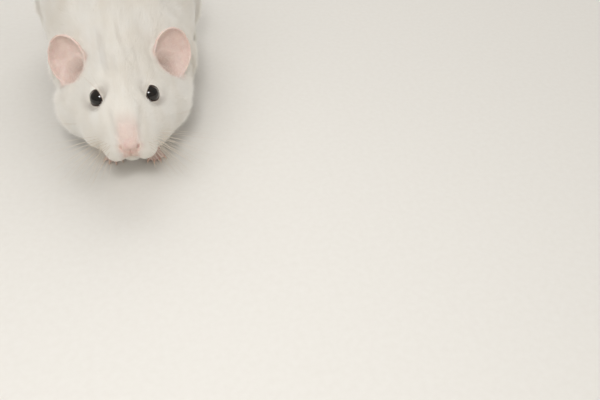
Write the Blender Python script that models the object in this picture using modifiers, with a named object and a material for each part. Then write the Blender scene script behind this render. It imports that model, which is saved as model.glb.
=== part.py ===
"""A Syrian hamster, life size, as a still model: crouching on four feet with its head held low and forward.

The animal faces -Y with +Z up, and its left is +X. Lengths are in millimetres, and MM turns them to metres.
Every surface is the outside of the coat, so the solids reach out to where the fur ends.
The flesh is shaped as blended lumps, and each part that grows from another is seated in it with a thin gap.
"""

import math
from collections import namedtuple

import bmesh
import bpy
from mathutils import Matrix, Vector

MM = 0.001
GAP = 0.3  # clearance between two neighbouring solids
SIDES = {"left": 1.0, "right": -1.0}

# Driving dimensions.
BODY_LENGTH = 126.0  # nose tip to the end of the rump
EYE_RADIUS = 3.3
EAR_HALF_WIDTH, EAR_HALF_HEIGHT, EAR_DEPTH, EAR_THICKNESS = 7.2, 8.7, 4.4, 1.0
FRONT_FOOT_LENGTH = 9.0  # back of the palm to the tips of the middle toes
HIND_FOOT_LENGTH = 17.0

POUCH_FILL = {"left": 0.0, "right": 1.7}  # how far each cheek stands out more than it does when empty

# Triangles kept in each part cut from the body, and in each part of its own.
BUDGET = {
    "head": 1100, "neck": 280, "trunk": 900, "front_leg": 240, "hind_leg": 280, "front_foot": 340,
    "hind_foot": 400, "lower_jaw": 130, "nose": 150, "tail": 100, "ear": 200,
}

# The body's outline, as stations from the nose back: top and bottom line, half width, height of the widest
# line, and how far the upper half is pinched from a round arch (1) towards a tent.
Station = namedtuple("Station", "back top bottom half_width middle pinch")
BODY_STATIONS = (
    Station(0.0, 20.6, 20.6, 0.0, 20.6, 1.0),  # nose tip
    Station(4.0, 27.0, 13.6, 7.6, 18.0, 1.1),  # lips
    Station(10.0, 31.4, 10.2, 12.2, 17.2, 1.6),  # bridge of the nose
    Station(17.5, 35.6, 7.8, 16.5, 16.8, 2.1),  # eyes
    Station(28.0, 40.8, 6.2, 21.5, 19.0, 1.68),  # cheeks
    Station(41.0, 44.4, 5.6, 22.8, 22.0, 1.25),  # nape
    Station(55.0, 48.6, 4.4, 24.6, 23.5, 1.05),  # shoulders
    Station(71.0, 54.6, 3.0, 27.4, 24.5, 1.0),  # ribs
    Station(88.0, 58.0, 2.6, 29.4, 25.5, 1.0),  # loins
    Station(103.0, 54.6, 3.2, 27.8, 25.0, 1.0),  # croup
    Station(117.0, 43.0, 8.0, 20.0, 24.5, 1.0),  # rump
    Station(BODY_LENGTH, 23.0, 23.0, 0.0, 23.0, 1.0),  # above the tail
)

# Planes that part head, neck and trunk: where each meets the back line, and its lean towards the head
# at the throat.
NAPE_CUT, NAPE_LEAN = 43.5, math.radians(20)
SHOULDER_CUT, SHOULDER_LEAN = 53.0, math.radians(14)

COLOURS = {  # linear base colour, roughness
    "fur": ((0.74, 0.70, 0.62), 0.85),
    "bare_skin": ((0.70, 0.42, 0.36), 0.55),
    "ear_skin": ((0.62, 0.43, 0.38), 0.65),
    "eye": ((0.010, 0.008, 0.008), 0.08),
}


# --- Small helpers ------------------------------------------------------------------------------


def at(x, back, height):
    """A place on the animal: to its left, back from the nose tip, and above the floor."""
    return Vector((x, back - BODY_LENGTH / 2, height)) * MM


def clear_scene():
    for obj in list(bpy.data.objects):
        bpy.data.objects.remove(obj, do_unlink=True)


def new_collection(name):
    collection = bpy.data.collections.new(name)
    bpy.context.scene.collection.children.link(collection)
    return collection


def new_material(name):
    colour, roughness = COLOURS[name]
    material = bpy.data.materials.new(name)
    material.use_nodes = True
    shader = material.node_tree.nodes["Principled BSDF"]
    shader.inputs["Base Color"].default_value = (*colour, 1.0)
    shader.inputs["Roughness"].default_value = roughness
    shader.inputs["Metallic"].default_value = 0.0
    return material


def object_from(bm, name, collection):
    mesh = bpy.data.meshes.new(name)
    bm.normal_update()
    bm.to_mesh(mesh)
    bm.free()
    obj = bpy.data.objects.new(name, mesh)
    collection.objects.link(obj)
    return obj


def apply_modifiers(obj):
    """Puts the object's evaluated shape in its mesh."""
    graph = bpy.context.evaluated_depsgraph_get()
    mesh = bpy.data.meshes.new_from_object(obj.evaluated_get(graph))
    obj.modifiers.clear()
    obj.data = mesh


def triangle_count(obj):
    return sum(len(face.vertices) - 2 for face in obj.data.polygons)


def blend_lumps(obj, voxel, rounds):
    """Melts overlapping closed lumps into one smooth body."""
    melt = obj.modifiers.new("melt", "REMESH")
    melt.mode = "VOXEL"
    melt.voxel_size = voxel * MM
    relax = obj.modifiers.new("relax", "SMOOTH")
    relax.factor = 0.5
    relax.iterations = rounds
    apply_modifiers(obj)


def thin_out(obj, triangles):
    """Keeps about this many triangles, most of them where the shape bends."""
    thin = obj.modifiers.new("thin", "DECIMATE")
    thin.use_collapse_triangulate = True
    thin.ratio = min(1.0, triangles / triangle_count(obj))
    apply_modifiers(obj)


def keep_side(obj, point, normal):
    """Cuts the object flat, closes the cut, and keeps what lies behind the plane's normal."""
    bm = bmesh.new()
    bm.from_mesh(obj.data)
    found = bmesh.ops.bisect_plane(
        bm, geom=bm.verts[:] + bm.edges[:] + bm.faces[:], dist=1e-7,
        plane_co=point, plane_no=normal, clear_outer=True,
    )
    rim = [item for item in found["geom_cut"] if isinstance(item, bmesh.types.BMEdge)]
    bmesh.ops.triangle_fill(bm, use_beauty=True, use_dissolve=False, edges=rim)
    bmesh.ops.recalc_face_normals(bm, faces=bm.faces)
    bm.to_mesh(obj.data)
    bm.free()


def duplicate(obj, name, collection):
    copy = bpy.data.objects.new(name, obj.data.copy())
    collection.objects.link(copy)
    return copy


def as_cutter(obj):
    obj.hide_render = True
    obj.display_type = "WIRE"
    return obj


def cut_away(host, cutter):
    cut = host.modifiers.new(cutter.name, "BOOLEAN")
    cut.operation = "DIFFERENCE"
    cut.solver = "EXACT"
    cut.object = cutter
    apply_modifiers(host)


def seat(host, guest, cutters):
    """Hollows a seat for the guest in its host, a gap wider than the guest all round."""
    cutter = as_cutter(duplicate(guest, f"seat_of_{guest.name}_in_{host.name}", cutters))
    normals = [vertex.normal.copy() for vertex in cutter.data.vertices]
    for vertex, normal in zip(cutter.data.vertices, normals):
        vertex.co += normal * GAP * MM
    cut_away(host, cutter)


def keep_largest_piece(obj):
    """Drops the crumbs that a cut can leave beside the main body."""
    bm = bmesh.new()
    bm.from_mesh(obj.data)
    unseen, islands = set(bm.verts), []
    while unseen:
        island, edge = set(), [unseen.pop()]
        while edge:
            vertex = edge.pop()
            island.add(vertex)
            near = {e.other_vert(vertex) for e in vertex.link_edges} & unseen
            unseen -= near
            edge.extend(near)
        islands.append(island)
    islands.sort(key=len)
    crumbs = [vertex for island in islands[:-1] for vertex in island]
    bmesh.ops.delete(bm, geom=crumbs, context="VERTS")
    bm.to_mesh(obj.data)
    bm.free()


# --- Shapes -------------------------------------------------------------------------------------


def add_ellipsoid(bm, centre, radii, turn=None, segments=28, rings=18):
    """centre is a place in metres, radii are millimetres, turn is a rotation matrix."""
    matrix = Matrix.Translation(centre)
    if turn is not None:
        matrix = matrix @ turn.to_4x4()
    matrix = matrix @ Matrix.Diagonal((*(radius * MM for radius in radii), 1.0))
    bmesh.ops.create_uvsphere(bm, u_segments=segments, v_segments=rings, radius=1.0, matrix=matrix)


def add_limb(bm, joints, segments=20):
    """A round limb through joints of (place in metres, radius in millimetres)."""
    for place, radius in joints:
        add_ellipsoid(bm, place, (radius,) * 3, segments=segments, rings=segments // 2)
    for (start, start_radius), (end, end_radius) in zip(joints, joints[1:]):
        along = end - start
        turn = along.to_track_quat("Z", "Y").to_matrix().to_4x4()
        bmesh.ops.create_cone(
            bm, cap_ends=True, segments=segments, radius1=start_radius * MM, radius2=end_radius * MM,
            depth=along.length, matrix=Matrix.Translation((start + end) / 2) @ turn,
        )


def smooth_between(stations, angle):
    """The station at this angle from the nose pole, by a Catmull-Rom curve through the stations."""
    angles = [math.acos(1 - 2 * s.back / BODY_LENGTH) for s in stations]
    i = max(k for k in range(len(stations) - 1) if angles[k] <= angle + 1e-9)
    before, start, end, after = (max(0, i - 1), i, i + 1, min(len(stations) - 1, i + 2))
    span = angles[end] - angles[start]
    t = (angle - angles[start]) / span
    ease = (2 * t**3 - 3 * t**2 + 1, t**3 - 2 * t**2 + t, -2 * t**3 + 3 * t**2, t**3 - t**2)

    def value(name):
        a, b, c, d = (getattr(stations[k], name) for k in (before, start, end, after))
        slope_in = (c - a) / (angles[end] - angles[before])
        slope_out = (d - b) / (angles[after] - angles[start])
        return ease[0] * b + ease[1] * span * slope_in + ease[2] * c + ease[3] * span * slope_out

    return {name: value(name) for name in stations[0]._fields[1:]}


def add_body_core(bm):
    """A sphere drawn out from nose to rump, each ring of it shaped by the body's stations."""
    made = bmesh.ops.create_uvsphere(bm, u_segments=48, v_segments=56, radius=1.0)
    for vertex in made["verts"]:
        angle = math.acos(max(-1.0, min(1.0, vertex.co.z)))
        ring = Vector((vertex.co.x, vertex.co.y))
        ring = ring.normalized() if ring.length > 1e-6 else Vector((0.0, 0.0))
        here = smooth_between(BODY_STATIONS, angle)
        upper = ring.y > 0
        reach = here["top"] - here["middle"] if upper else here["middle"] - here["bottom"]
        width = math.copysign(abs(ring.x) ** (here["pinch"] if upper else 1.0), ring.x)
        back = BODY_LENGTH * (1 - math.cos(angle)) / 2
        vertex.co = at(here["half_width"] * width, back, here["middle"] + reach * ring.y)
    bmesh.ops.recalc_face_normals(bm, faces=bm.faces)


def make_flesh(collection):
    """Trunk, neck and head in one, with the cheeks, whisker pads, eye sockets and breast melted in."""
    bm = bmesh.new()
    add_body_core(bm)
    for name, side in SIDES.items():
        full = POUCH_FILL[name]
        add_ellipsoid(bm, at((12.0 + full) * side, 28.6, 18.6), (9.4, 13.4, 10.6))  # cheek and its pouch
        add_ellipsoid(bm, at((8.2 + full / 2) * side, 17.0, 17.2), (6.3, 9.5, 5.4))  # lower cheek
        add_ellipsoid(bm, at(4.2 * side, 5.3, 17.2), (4.4, 5.4, 4.3))  # whisker pad
        add_ellipsoid(bm, at(5.0 * side, 18.2, 27.4), (4.5, 7.4, 4.9))  # eye socket
        add_ellipsoid(bm, at(9.0 * side, 54.0, 16.0), (9.0, 14.0, 10.5))  # breast
    flesh = object_from(bm, "flesh", collection)
    blend_lumps(flesh, voxel=0.8, rounds=14)
    return flesh


def part_flesh(flesh, collection):
    """Head, neck and trunk, cut from the flesh by two leaning planes."""
    cuts = []
    for back, lean in ((NAPE_CUT, NAPE_LEAN), (SHOULDER_CUT, SHOULDER_LEAN)):
        cuts.append((at(0, back, BODY_STATIONS[5].top), Vector((0, math.cos(lean), -math.sin(lean)))))
    (nape, nape_out), (shoulder, shoulder_out) = cuts
    half = GAP / 2 * MM
    head = duplicate(flesh, "head", collection)
    keep_side(head, nape - nape_out * half, nape_out)
    neck = duplicate(flesh, "neck", collection)
    keep_side(neck, nape + nape_out * half, -nape_out)
    keep_side(neck, shoulder - shoulder_out * half, shoulder_out)
    trunk = duplicate(flesh, "trunk", collection)
    keep_side(trunk, shoulder + shoulder_out * half, -shoulder_out)
    for obj in (head, neck, trunk):
        thin_out(obj, BUDGET[obj.name])
    return head, neck, trunk


def make_lower_jaw(collection):
    bm = bmesh.new()
    add_ellipsoid(bm, at(0, 10.4, 13.0), (4.4, 6.2, 3.2))
    add_ellipsoid(bm, at(0, 5.8, 13.9), (2.8, 2.5, 1.9))  # lower lip
    jaw = object_from(bm, "lower_jaw", collection)
    blend_lumps(jaw, voxel=0.4, rounds=6)
    thin_out(jaw, BUDGET["lower_jaw"])
    return jaw


def make_nose(collection):
    """The bare pad: a rounded bridge over two wings, and a narrow pad that runs down between the lips."""
    bm = bmesh.new()
    add_ellipsoid(bm, at(0, 1.7, 21.0), (2.3, 2.6, 2.1))
    for side in SIDES.values():
        add_ellipsoid(bm, at(1.55 * side, 1.6, 20.0), (1.35, 1.9, 1.5))
    add_ellipsoid(bm, at(0, 1.6, 18.6), (0.9, 1.7, 1.5))
    nose = object_from(bm, "nose", collection)
    blend_lumps(nose, voxel=0.22, rounds=5)
    thin_out(nose, BUDGET["nose"])
    return nose


def cut_nostrils(nose, cutters):
    """A leaning slit in each side of the pad."""
    for name, side in SIDES.items():
        bm = bmesh.new()
        outwards = Matrix.Rotation(math.radians(-35) * side, 3, "Z")
        aslant = Matrix.Rotation(math.radians(25) * side, 3, "Y")
        add_ellipsoid(
            bm, at(2.0 * side, 0.2, 20.2), (0.45, 1.1, 0.8), turn=outwards @ aslant, segments=10, rings=6
        )
        cut_away(nose, as_cutter(object_from(bm, f"nostril_{name}", cutters)))


def make_eye(name, side, collection):
    bm = bmesh.new()
    add_ellipsoid(bm, at(7.6 * side, 17.2, 28.0), (EYE_RADIUS,) * 3, segments=14, rings=8)
    return object_from(bm, f"eye_{name}", collection)


def make_ear(name, side, collection):
    """Half a hollow egg, open forwards and outwards, narrow at its root."""
    bm = bmesh.new()
    bmesh.ops.create_uvsphere(bm, u_segments=20, v_segments=14, radius=1.0)
    bmesh.ops.bisect_plane(
        bm, geom=bm.verts[:] + bm.edges[:] + bm.faces[:], dist=1e-6,
        plane_co=(0, 0, 0), plane_no=(0, -1, 0), clear_outer=True,
    )
    for vertex in bm.verts:
        low = max(0.0, -vertex.co.z)
        vertex.co.x *= 1 - 0.34 * low**1.5
        vertex.co.y = vertex.co.y * (1 + 0.25 * low) - 0.55 * low * abs(vertex.co.x)
    lean_back = Matrix.Rotation(math.radians(-16), 4, "X")
    lean_out = Matrix.Rotation(math.radians(8) * side, 4, "Y")
    face_out = Matrix.Rotation(math.radians(30) * side, 4, "Z")
    size = Matrix.Diagonal((EAR_HALF_WIDTH * MM, EAR_DEPTH * MM, EAR_HALF_HEIGHT * MM, 1.0))
    place = Matrix.Translation(at(17.2 * side, 29.8, 34.6))
    bmesh.ops.transform(bm, matrix=place @ lean_out @ face_out @ lean_back @ size, verts=bm.verts)
    ear = object_from(bm, f"ear_{name}", collection)
    wall = ear.modifiers.new("wall", "SOLIDIFY")
    wall.thickness = EAR_THICKNESS * MM
    wall.offset = 0.0
    wall.use_even_offset = True
    apply_modifiers(ear)
    thin_out(ear, BUDGET["ear"])
    return ear


def make_tail(collection):
    bm = bmesh.new()
    add_limb(bm, [(at(0, 118.0, 18.0), 3.6), (at(0, 125.0, 15.0), 2.5), (at(0.8, 131.5, 13.6), 1.2)])
    tail = object_from(bm, "tail", collection)
    blend_lumps(tail, voxel=0.5, rounds=4)
    thin_out(tail, BUDGET["tail"])
    return tail


def make_foot(name, origin, turn, toes, pads, claw, collection, budget):
    """A foot that points to -Y from its origin, with toes of (angle, length, radius) fanned from its ball."""
    bm = bmesh.new()
    frame = Matrix.Translation(origin) @ Matrix.Rotation(turn, 4, "Z")

    def spot(x, y, z):
        return frame @ (Vector((x, y, z)) * MM)

    for centre, radii in pads:
        add_ellipsoid(bm, spot(*centre), radii, turn=frame.to_3x3())
    (ball_x, ball_y, ball_z), (ball_radius, _, _) = pads[0]
    claw_length, claw_radius = claw

    def out_from_ball(angle, distance, height):
        turned = math.radians(angle)
        return spot(ball_x + math.sin(turned) * distance, ball_y - math.cos(turned) * distance, height)

    for angle, length, radius in toes:
        root = ball_radius * 0.8
        tip = root + length
        add_limb(bm, [
            (out_from_ball(angle, root * 0.6, ball_z + 0.1), radius * 1.1),
            (out_from_ball(angle, root + length * 0.45, radius + 0.55), radius * 0.95),  # knuckle
            (out_from_ball(angle, tip, radius - 0.12), radius),
        ], segments=12)
        add_limb(bm, [
            (out_from_ball(angle, tip + radius * 0.2, radius + 0.25), claw_radius * 1.2),
            (out_from_ball(angle, tip + radius + claw_length * 0.5, radius * 0.75), claw_radius),
            (out_from_ball(angle, tip + radius + claw_length, claw_radius * 0.9), claw_radius * 0.62),
        ], segments=10)
    foot = object_from(bm, name, collection)
    blend_lumps(foot, voxel=0.26, rounds=2)
    thin_out(foot, budget)
    keep_side(foot, Vector((0, 0, 0)), Vector((0, 0, -1)))
    return foot


def make_front_foot(name, side, forward, collection):
    pads = [
        ((0, 2.6, 1.6), (2.7, 2.9, 1.9)),  # palm
        ((0, 6.0, 3.0), (2.2, 3.0, 2.3)),  # wrist
        ((-1.9 * side, 3.9, 1.1), (1.0, 1.3, 1.2)),  # stub of a thumb
    ]
    toes = [
        (angle * side, FRONT_FOOT_LENGTH * share, 0.8)
        for angle, share in ((-27, 0.33), (-8, 0.4), (10, 0.4), (29, 0.33))
    ]
    return make_foot(
        f"front_foot_{name}", at(6.8 * side, 21.6 - forward, 0), math.radians(9) * side,
        toes, pads, (1.5, 0.42), collection, BUDGET["front_foot"],
    )


def make_hind_foot(name, side, forward, collection):
    pads = [
        ((0, 3.4, 1.65), (3.4, 3.1, 1.9)),  # ball
        ((0, 8.6, 1.8), (2.7, 5.6, 2.1)),  # sole
        ((0, 13.0, 2.6), (2.6, 3.2, 2.8)),  # heel
    ]
    toes = [
        (angle * side, HIND_FOOT_LENGTH * share, 0.9)
        for angle, share in ((-34, 0.19), (-15, 0.26), (0, 0.28), (15, 0.26), (36, 0.17))
    ]
    return make_foot(
        f"hind_foot_{name}", at(21.5 * side, 76.5 - forward, 0), math.radians(12) * side,
        toes, pads, (1.9, 0.48), collection, BUDGET["hind_foot"],
    )


def make_front_leg(name, side, forward, collection):
    bm = bmesh.new()
    add_limb(bm, [
        (at(7.6 * side, 28.6 - forward, 4.4), 3.0),  # wrist
        (at(10.8 * side, 35.0, 8.0), 4.7),
        (at(15.4 * side, 43.5, 12.0), 7.0),  # elbow
    ])
    add_ellipsoid(bm, at(15.6 * side, 51.5, 20.5), (10.2, 11.0, 12.0))  # shoulder
    leg = object_from(bm, f"front_leg_{name}", collection)
    blend_lumps(leg, voxel=0.7, rounds=10)
    thin_out(leg, BUDGET["front_leg"])
    return leg


def make_hind_leg(name, side, forward, collection):
    bm = bmesh.new()
    add_limb(bm, [
        (at(21.0 * side, 89.5 - forward, 5.6), 4.4),  # ankle
        (at(21.5 * side, 84.0, 12.0), 7.5),  # shank
    ])
    lean = Matrix.Rotation(math.radians(-18), 3, "X")
    add_ellipsoid(bm, at(19.0 * side, 94.0, 24.5), (13.2, 19.5, 18.5), turn=lean)  # thigh
    leg = object_from(bm, f"hind_leg_{name}", collection)
    blend_lumps(leg, voxel=0.9, rounds=10)
    thin_out(leg, BUDGET["hind_leg"])
    return leg


def stand_on_origin(parts):
    """Puts the origin under the middle of the animal, on the floor."""
    corners = [vertex.co for obj in parts for vertex in obj.data.vertices]
    low = Vector(min(co[axis] for co in corners) for axis in range(3))
    high = Vector(max(co[axis] for co in corners) for axis in range(3))
    shift = Vector((-(low.x + high.x) / 2, -(low.y + high.y) / 2, -low.z))
    for obj in parts:
        obj.data.transform(Matrix.Translation(shift))


def finish(obj, material):
    keep_largest_piece(obj)
    obj.data.materials.clear()
    obj.data.materials.append(material)
    obj.data.shade_smooth()
    obj.data.set_sharp_from_angle(angle=math.radians(50))


def build():
    clear_scene()
    animal = new_collection("syrian_hamster")
    helpers = new_collection("cutters")
    materials = {name: new_material(name) for name in COLOURS}

    flesh = make_flesh(helpers)
    head, neck, trunk = part_flesh(flesh, animal)
    flesh.hide_render = True
    jaw = make_lower_jaw(animal)
    nose = make_nose(animal)
    tail = make_tail(animal)
    furred, bare = [head, neck, trunk, jaw], [nose, tail]
    ears, eyes = [], []

    # The paws stand a little out of step, as they do when the animal pauses in a walk.
    front_step = {"left": 1.2, "right": -0.6}
    hind_step = {"left": -1.5, "right": 1.5}
    for name, side in SIDES.items():
        front_leg = make_front_leg(name, side, front_step[name], animal)
        hind_leg = make_hind_leg(name, side, hind_step[name], animal)
        front_foot = make_front_foot(name, side, front_step[name], animal)
        hind_foot = make_hind_foot(name, side, hind_step[name], animal)
        ear = make_ear(name, side, animal)
        eye = make_eye(name, side, animal)
        seat(front_leg, front_foot, helpers)
        seat(hind_leg, hind_foot, helpers)
        seat(trunk, hind_leg, helpers)
        seat(trunk, hind_foot, helpers)
        for host in (trunk, neck, head):
            seat(host, front_leg, helpers)
        seat(head, ear, helpers)
        seat(head, eye, helpers)
        furred += [front_leg, hind_leg]
        bare += [front_foot, hind_foot]
        ears.append(ear)
        eyes.append(eye)
    seat(head, jaw, helpers)
    seat(head, nose, helpers)
    seat(jaw, nose, helpers)
    cut_nostrils(nose, helpers)
    seat(trunk, tail, helpers)

    stand_on_origin(furred + bare + ears + eyes)
    for group, material in ((furred, "fur"), (bare, "bare_skin"), (ears, "ear_skin"), (eyes, "eye")):
        for obj in group:
            finish(obj, materials[material])


build()
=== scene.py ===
"""A Syrian hamster, life size: skin, coat, eyes, claws and whiskers over its solids, in a plain studio.

The animal faces -Y with +Z up, and its left is +X. Lengths are in metres, but places on the body are in
millimetres: outwards or to its left, back from the nose tip, and above the floor.
"""

import math
from collections import namedtuple

import bmesh
import bpy
import numpy as np
from bpy.props import FloatProperty, PointerProperty, StringProperty
from mathutils import Matrix, Vector
from mathutils.bvhtree import BVHTree
from mathutils.kdtree import KDTree


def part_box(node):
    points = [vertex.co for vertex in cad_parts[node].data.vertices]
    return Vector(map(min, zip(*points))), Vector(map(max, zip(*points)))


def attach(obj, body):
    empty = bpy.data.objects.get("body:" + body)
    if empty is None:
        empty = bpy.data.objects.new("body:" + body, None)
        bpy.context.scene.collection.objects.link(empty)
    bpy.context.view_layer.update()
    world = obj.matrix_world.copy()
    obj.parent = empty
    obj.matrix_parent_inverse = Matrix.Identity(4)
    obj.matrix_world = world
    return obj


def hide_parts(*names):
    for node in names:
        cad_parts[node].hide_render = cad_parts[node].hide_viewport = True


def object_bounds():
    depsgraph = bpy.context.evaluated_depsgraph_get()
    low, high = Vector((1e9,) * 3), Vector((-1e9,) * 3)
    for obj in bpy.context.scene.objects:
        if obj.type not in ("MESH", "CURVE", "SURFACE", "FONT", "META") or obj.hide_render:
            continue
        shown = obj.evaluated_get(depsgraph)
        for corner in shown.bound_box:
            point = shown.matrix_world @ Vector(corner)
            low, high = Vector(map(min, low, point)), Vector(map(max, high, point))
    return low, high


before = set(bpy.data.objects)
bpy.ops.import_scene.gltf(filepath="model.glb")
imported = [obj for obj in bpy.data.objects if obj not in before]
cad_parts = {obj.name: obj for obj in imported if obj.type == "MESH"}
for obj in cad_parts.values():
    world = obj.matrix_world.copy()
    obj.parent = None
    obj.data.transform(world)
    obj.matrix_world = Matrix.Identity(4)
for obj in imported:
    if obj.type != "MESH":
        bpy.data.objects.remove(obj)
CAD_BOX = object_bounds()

bl_info = {
    "name": "Syrian Hamster",
    "version": (1, 0, 0),
    "blender": (4, 5, 0),
    "location": "3D View > Sidebar > Hamster",
    "description": "Dresses the solids of a Syrian hamster in skin, coat, eyes, claws and whiskers",
    "category": "Object",
}

MM = 0.001
SIDES = {"left": 1.0, "right": -1.0}
FLOOR_LEVEL = CAD_BOX[0][2]
EYES = {name: sum(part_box(f"eye_{name}"), Vector()) / 2 for name in SIDES}
EYE_RADIUS = (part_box("eye_left")[1].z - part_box("eye_left")[0].z) / 2
CORNEA_RADIUS = EYE_RADIUS * 0.82
CORNEA_FORWARD = EYE_RADIUS * 0.245  # from the middle of the eye to the middle of the cornea's ball
EYE_BACK = 17.2  # how far the middle of the eyes lies behind the nose tip, in millimetres
NOSE_TIP_Y = EYES["left"].y - EYE_BACK * MM
BETWEEN_EYES = sum(EYES.values(), Vector()) / 2
FLESH = (
    "head", "neck", "trunk", "lower_jaw", "nose", "tail", "ear_left", "ear_right",
    "front_leg_left", "front_leg_right", "hind_leg_left", "hind_leg_right",
    "front_foot_left", "front_foot_right", "hind_foot_left", "hind_foot_right",
)
EARS = ("ear_left", "ear_right")
LEGS = [node for node in FLESH if "leg" in node]
FEET = [node for node in FLESH if "foot" in node]
SKIN_MAP = "skin_unwrap"


def place(x, back, height):
    """The point at a place on the body, whose x is to the animal's left."""
    return Vector((x * MM, NOSE_TIP_Y + back * MM, FLOOR_LEVEL + height * MM))


def body_places(points):
    """How far outwards, back and up each point lies on the body, in millimetres."""
    return np.abs(points[:, 0]) / MM, (points[:, 1] - NOSE_TIP_Y) / MM, (points[:, 2] - FLOOR_LEVEL) / MM


# --- The lie of the coat ------------------------------------------------------------------------

# A patch of coat round one place on the left of the body, mirrored to the right, in millimetres. comb is the
# way the hair lies, as (outwards, back, up), and lift its angle from the skin in degrees. width is a tuft's.
Patch = namedtuple("Patch", "x back height reach comb length lift width")
COAT = {
    "bridge of the nose": Patch(0, 5, 27, 4, (0, 1, 0.5), 1.0, 12, 0.10),
    "between nose and eyes": Patch(0, 11.5, 31.5, 5, (0, 1, 0.5), 1.8, 12, 0.11),
    "forehead": Patch(0, 22, 37.5, 7, (0, 1, 0.5), 2.8, 13, 0.13),
    "crown": Patch(0, 33, 43, 8, (0, 1, 0.45), 3.6, 14, 0.14),
    "whisker pad": Patch(6, 4.5, 19, 4, (0.7, 1, -0.1), 1.4, 14, 0.10),
    "side of the muzzle": Patch(9.5, 11, 20, 5, (0.6, 1, -0.15), 2.2, 14, 0.12),
    "before the eye": Patch(8, 12.5, 26, 3.5, (0.5, 1, 0.3), 1.4, 12, 0.11),
    "over the eye": Patch(6.5, 18, 33, 3.5, (0.3, 1, 0.5), 1.9, 12, 0.12),
    "behind the eye": Patch(12, 20, 26.5, 4, (0.6, 1, 0), 2.2, 13, 0.12),
    "front of the cheek": Patch(15.5, 19, 18, 5, (0.6, 1, -0.35), 3.0, 18, 0.14),
    "cheek": Patch(20.5, 29, 18, 7, (0.3, 1, -0.5), 3.9, 21, 0.14),
    "before the ear": Patch(13.5, 24.5, 32, 3.5, (0.3, 0.9, 0.3), 2.8, 14, 0.13),
    "behind the ear": Patch(17, 37, 33, 5, (0.15, 1, 0), 3.6, 16, 0.14),
    "chin": Patch(0, 7, 12, 4, (0, 1, -0.2), 1.9, 14, 0.12),
    "side of the chin": Patch(7, 10, 13.5, 4, (0.3, 1, -0.3), 2.4, 15, 0.13),
    "throat": Patch(0, 22, 8, 8, (0, 1, -0.15), 3.5, 17, 0.14),
    "nape": Patch(0, 44, 48, 8, (0, 1, 0.35), 4.9, 15, 0.16),
    "side of the neck": Patch(21.5, 42, 25, 8, (0.1, 1, -0.45), 5.2, 18, 0.17),
    "under the neck": Patch(0, 42, 7, 9, (0, 1, -0.1), 5.0, 16, 0.18),
    "withers": Patch(0, 60, 55, 10, (0, 1, 0.25), 5.9, 15, 0.18),
    "ribs": Patch(26, 66, 28, 11, (0, 1, -0.4), 6.6, 15, 0.19),
    "back": Patch(0, 85, 61, 13, (0, 1, 0), 6.8, 14, 0.19),
    "flank": Patch(29, 88, 30, 11, (0, 1, -0.45), 6.8, 15, 0.19),
    "low on the flank": Patch(20, 72, 7, 7, (0.1, 0.8, -0.6), 6.1, 14, 0.19),
    "croup": Patch(0, 108, 53, 11, (0, 1, -0.45), 7.1, 16, 0.19),
    "rump": Patch(0, 123, 36, 9, (0, 0.5, -1), 6.8, 18, 0.19),
    "side of the rump": Patch(19, 114, 27, 10, (0.1, 0.7, -0.7), 6.8, 17, 0.19),
    "belly": Patch(0, 78, 3.5, 14, (0, 1, 0), 5.4, 12, 0.22),
    "under the rump": Patch(0, 112, 8, 9, (0, 1, -0.3), 5.4, 13, 0.21),
    "shoulder": Patch(25.5, 51.5, 22, 7, (0, 0.6, -1), 5.0, 16, 0.17),
    "elbow": Patch(20, 46, 11, 6, (-0.1, 0.1, -1), 4.0, 18, 0.15),
    "forearm": Patch(12, 36.5, 8, 5, (-0.35, -0.7, -0.6), 3.3, 16, 0.14),
    "wrist": Patch(7.8, 29, 4.5, 4, (-0.2, -1, -0.4), 2.0, 12, 0.13),
    "thigh": Patch(32, 95, 26, 9, (0, 0.6, -1), 6.0, 15, 0.18),
    "knee": Patch(27, 80, 12, 7, (0, 0.1, -1), 4.6, 17, 0.17),
    "hock": Patch(21.5, 89, 6, 5, (0, -0.7, -0.8), 2.8, 14, 0.15),
    "root of the tail": Patch(0, 120, 18, 5, (0, 1, -0.6), 4.0, 14, 0.16),
}


def coat_at(points):
    """The coat's comb, length, lift and width at these points, blended from the patches near each."""
    mirrored = np.column_stack(body_places(points))
    weights = np.column_stack([
        np.exp(-((mirrored - (patch.x, patch.back, patch.height)) ** 2).sum(1) / patch.reach**2) + 1e-12
        for patch in COAT.values()
    ])
    weights /= weights.sum(1, keepdims=True)
    sizes = weights @ np.array([(patch.length, patch.lift, patch.width) for patch in COAT.values()])
    combs = [np.array(patch.comb) / np.linalg.norm(patch.comb) for patch in COAT.values()]
    comb = weights @ np.array(combs)
    comb[:, 0] *= np.sign(points[:, 0])
    return comb, sizes[:, 0] * MM, np.radians(sizes[:, 1]), sizes[:, 2] * MM


def coat_depth(points):
    """How far the skin lies under the outside of the coat."""
    _, length, lift, _ = coat_at(points)
    return length * np.sin(lift) * settings().coat_loft


# --- Small helpers ------------------------------------------------------------------------------


def settings():
    return bpy.context.scene.hamster


def ease(low, high, values):
    """0 below low, 1 above high, and smooth between."""
    t = np.clip((values - low) / (high - low), 0.0, 1.0)
    return t * t * (3 - 2 * t)


def fade(low, high, values):
    """1 below low, 0 above high, and smooth between."""
    return 1 - ease(low, high, values)


def unit(vectors):
    return vectors / np.maximum(np.linalg.norm(vectors, axis=-1, keepdims=True), 1e-12)


def ripple(points, size, seed):
    """A smooth random field between about -1 and 1 that turns over within about this size."""
    waves = 7
    rng = np.random.default_rng(seed)
    directions = unit(rng.normal(size=(waves, 3))) * rng.uniform(0.7, 1.5, (waves, 1)) * 2 * math.pi / size
    phases = rng.uniform(0, 2 * math.pi, waves)
    return np.sin(points @ directions.T + phases).sum(1) / 3.0


def read(items, key, width, kind=np.float32):
    """A value of all these items of a mesh, as rows of this width."""
    found = np.empty(len(items) * width, kind)
    items.foreach_get(key, found)
    return found.reshape(-1, width)


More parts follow.
